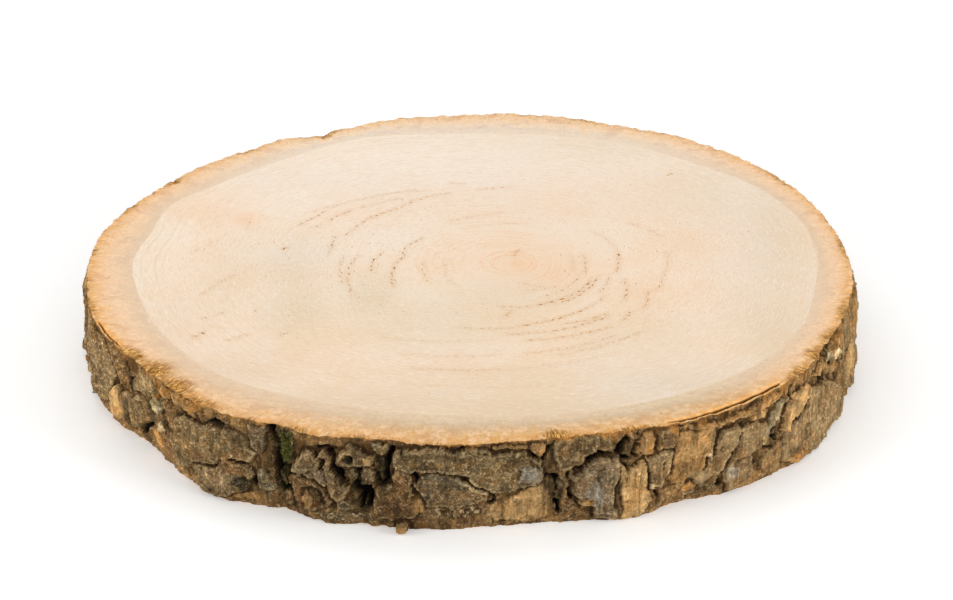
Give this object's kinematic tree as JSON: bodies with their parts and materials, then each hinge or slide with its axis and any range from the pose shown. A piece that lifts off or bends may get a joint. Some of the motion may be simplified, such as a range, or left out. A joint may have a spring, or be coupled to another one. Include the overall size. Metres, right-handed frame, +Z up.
{
  "type": "wood slice",
  "caption": "Round slice sawn across a tree trunk, with flat cut faces of pale ringed wood inside a ring of rough grey-brown bark.",
  "frame": {"origin": "middle of the slice's outline, on its underside", "axes": "+Z up through the slice's thickness; -Y is the side that the picture is taken from, and +X is to its right"},
  "size_m": [0.2904, 0.2906, 0.036],
  "materials": {
    "wood": "dry sawn end grain, matt",
    "bark": "rough dry bark, matt"
  },
  "bodies": {
    "root": {"wood": "wood", "bark": "bark"}
  },
  "joints": []
}
